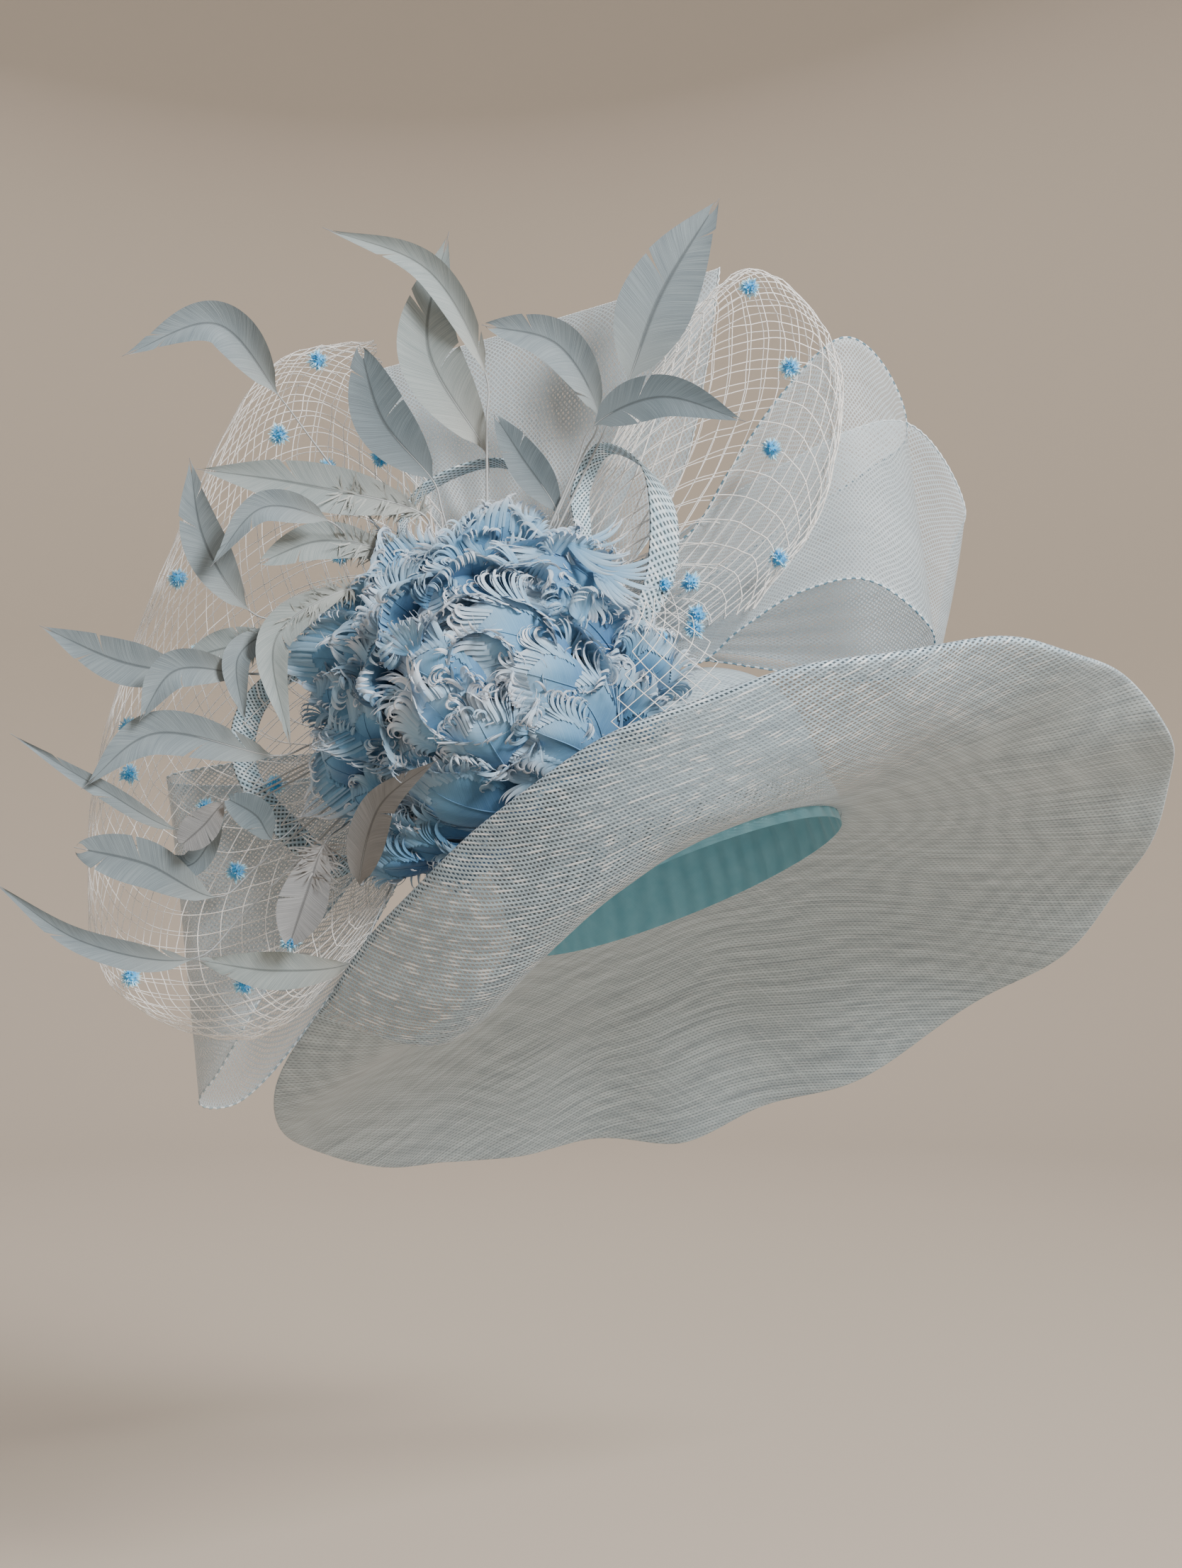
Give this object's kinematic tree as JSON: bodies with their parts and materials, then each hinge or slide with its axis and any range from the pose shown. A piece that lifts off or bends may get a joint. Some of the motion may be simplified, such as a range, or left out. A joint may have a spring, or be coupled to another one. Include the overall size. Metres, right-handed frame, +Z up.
{
  "type": "fascinator hat",
  "caption": "Wide wavy straw hat worn tilted, trimmed with a curled feather flower, cut feathers, crinoline loops and dotted veiling.",
  "frame": {"origin": "centre of the head opening", "axes": "+Z up as worn, -Y towards the viewer in front of the wearer, +X to the viewer's right; the crown's axis leans 22 degrees to -X and 12 degrees to +Y"},
  "size_m": [0.6087, 0.4161, 0.528],
  "materials": {
    "satin": "satin ribbon, pleated",
    "straw": "open sinamay straw cloth with a slight sheen",
    "felt": "felt base, hidden",
    "petal": "curled goose feather, matt with pale fringes",
    "feather": "cut cock feather, softly satin",
    "crinoline": "sheer horsehair mesh",
    "veiling": "open net with chenille dots"
  },
  "bodies": {
    "root": {"sweatband": "satin", "crown": "straw", "brim": "straw", "trim_hub": "felt", "flower_whorl_outer": "petal", "flower_whorl_second": "petal", "flower_whorl_third": "petal", "flower_whorl_inner": "petal", "flower_heart": "petal", "feather_crook_top": "feather", "feather_tall_top": "feather", "feather_arched_left": "feather", "feather_dark_left": "feather", "feather_crescent_top": "feather", "feather_upright_right": "feather", "feather_dark_right": "feather", "feather_dark_middle": "feather", "feather_long_left": "feather", "feather_upright_left": "feather", "feather_small_arc": "feather", "feather_companion_left": "feather", "feather_white_crescent": "feather", "feather_spear_left": "feather", "feather_cut_left": "feather", "feather_pale_left": "feather", "feather_hook_left": "feather", "feather_broad_left": "feather", "feather_thin_upper": "feather", "feather_thin_lower": "feather", "feather_round_left": "feather", "feather_curl_left": "feather", "feather_round_small": "feather", "feather_oval_left": "feather", "feather_white_low": "feather", "feather_grey_low": "feather", "feather_brown_over": "feather", "crinoline_tall_loop": "crinoline", "crinoline_right_loop": "crinoline", "crinoline_outer_loop": "crinoline", "crinoline_left_loop": "crinoline", "bias_tall_loop": "straw", "bias_curl_left": "straw", "bias_low_loop": "straw", "veil_left": "veiling", "veil_right": "veiling"}
  },
  "joints": []
}
